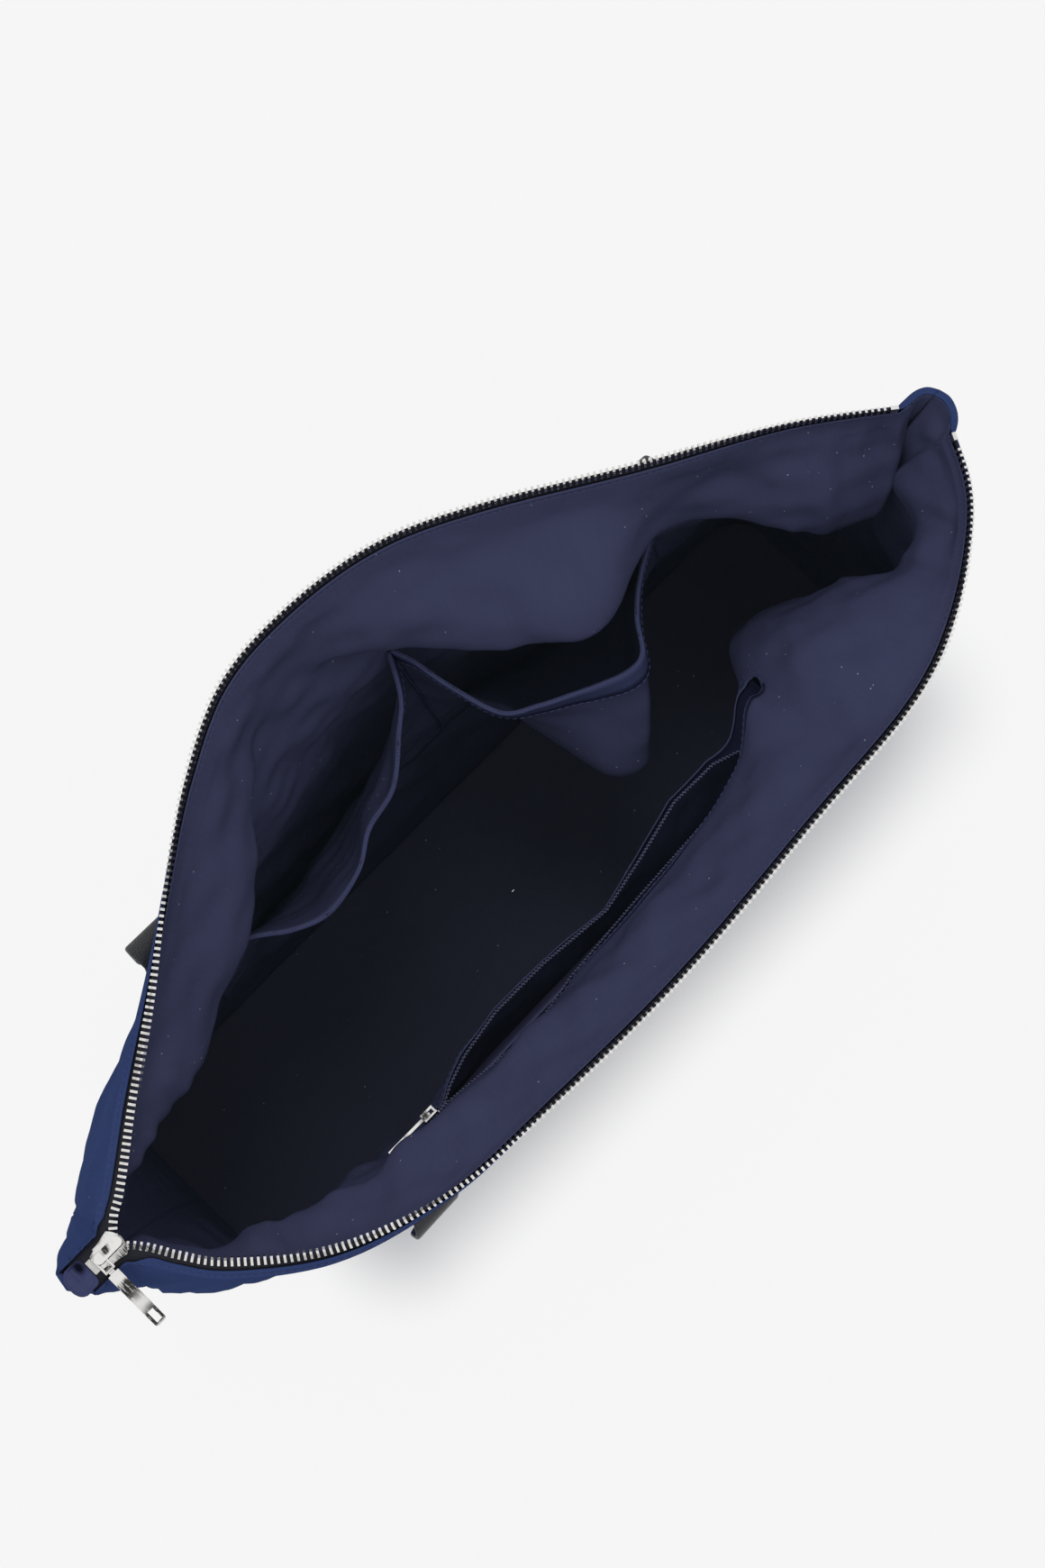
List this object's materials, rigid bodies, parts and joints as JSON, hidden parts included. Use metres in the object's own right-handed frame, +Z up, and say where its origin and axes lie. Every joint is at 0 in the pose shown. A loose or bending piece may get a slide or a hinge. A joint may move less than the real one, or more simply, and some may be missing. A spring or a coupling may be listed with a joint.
{
  "type": "shopper bag",
  "caption": "Zip-top fabric shopper bag standing with its mouth open, with lining, slip pockets, an inner zip pocket, metal main zip and strap handles.",
  "frame": {"origin": "centre of the face that the bag stands on, on the ground, midway along the base", "axes": "+X along the bag towards the far end of the main zip, +Y towards the back panel, +Z up"},
  "size_m": [0.4821, 0.2102, 0.3017],
  "materials": {
    "satin_fabric": "navy satin-weave nylon, soft sheen, creased",
    "lining_fabric": "dark navy woven cotton-like lining with a violet cast",
    "zip_tape": "near-black woven polyester zip tape",
    "inner_zip_tape": "dark navy woven polyester zip tape",
    "zip_metal": "bright polished zip teeth",
    "polished_metal": "mirror-polished plated die casting",
    "nylon_coil": "dark navy nylon coil",
    "strap": "near-black fine-grained leather, edges folded and stitched"
  },
  "bodies": {
    "bag": {"front_outer_panel": "satin_fabric", "back_outer_panel": "satin_fabric", "base_outer_panel": "satin_fabric", "front_lining": "lining_fabric", "back_lining": "lining_fabric", "base_lining": "lining_fabric", "front_zip_tape": "zip_tape", "back_zip_tape": "zip_tape", "front_zip_teeth": "zip_metal", "back_zip_teeth": "zip_metal", "front_top_stop": "zip_metal", "back_top_stop": "zip_metal", "bottom_stop": "zip_metal", "zip_end_tab": "satin_fabric", "slider_body": "polished_metal", "slider_bail": "polished_metal", "left_slip_pocket": "lining_fabric", "right_slip_pocket": "lining_fabric", "inner_pocket_bag": "lining_fabric", "inner_zip_upper_tape": "inner_zip_tape", "inner_zip_lower_tape": "inner_zip_tape", "inner_zip_upper_coil": "nylon_coil", "inner_zip_lower_coil": "nylon_coil", "inner_end_stop": "zip_metal", "front_handle_ends": "strap", "back_handle_ends": "strap"},
    "link": {"puller_link": "polished_metal"},
    "puller": {"puller": "polished_metal"},
    "inner_slider": {"inner_slider_body": "polished_metal"},
    "inner_puller": {"inner_puller": "polished_metal"},
    "front_handle": {"front_handle": "strap"},
    "back_handle": {"back_handle": "strap"}
  },
  "joints": [
    {"name": "link_swing", "type": "hinge", "parent": "bag", "child": "link", "pos_m": [-0.23262, -0.002, 0.28575], "axis": [0, 0, -1], "range_deg": [0, 180]},
    {"name": "puller_fold", "type": "hinge", "parent": "link", "child": "puller", "pos_m": [-0.23262, -0.00775, 0.28575], "axis": [-1, 0, 0], "range_deg": [0, 130]},
    {"name": "inner_slider_slide", "type": "slide", "parent": "bag", "child": "inner_slider", "axis": [1, 0, 0], "range_m": [0, 0.205], "deforming": ["inner_zip_upper_tape", "inner_zip_lower_tape", "inner_zip_upper_coil", "inner_zip_lower_coil"]},
    {"name": "inner_puller_fold", "type": "hinge", "parent": "inner_slider", "child": "inner_puller", "pos_m": [-0.1045, -0.04879, 0.226], "axis": [0, 0, -1], "range_deg": [0, 150]},
    {"name": "front_handle_swing", "type": "hinge", "parent": "bag", "child": "front_handle", "pos_m": [0, -0.07498, 0.24], "axis": [-0.9995, -0.0321, 0], "range_deg": [0, 160], "deforming": ["front_handle_ends"]},
    {"name": "back_handle_swing", "type": "hinge", "parent": "bag", "child": "back_handle", "pos_m": [0, 0.07638, 0.24], "axis": [0.9996, -0.0268, 0], "range_deg": [0, 160], "deforming": ["back_handle_ends"]}
  ]
}
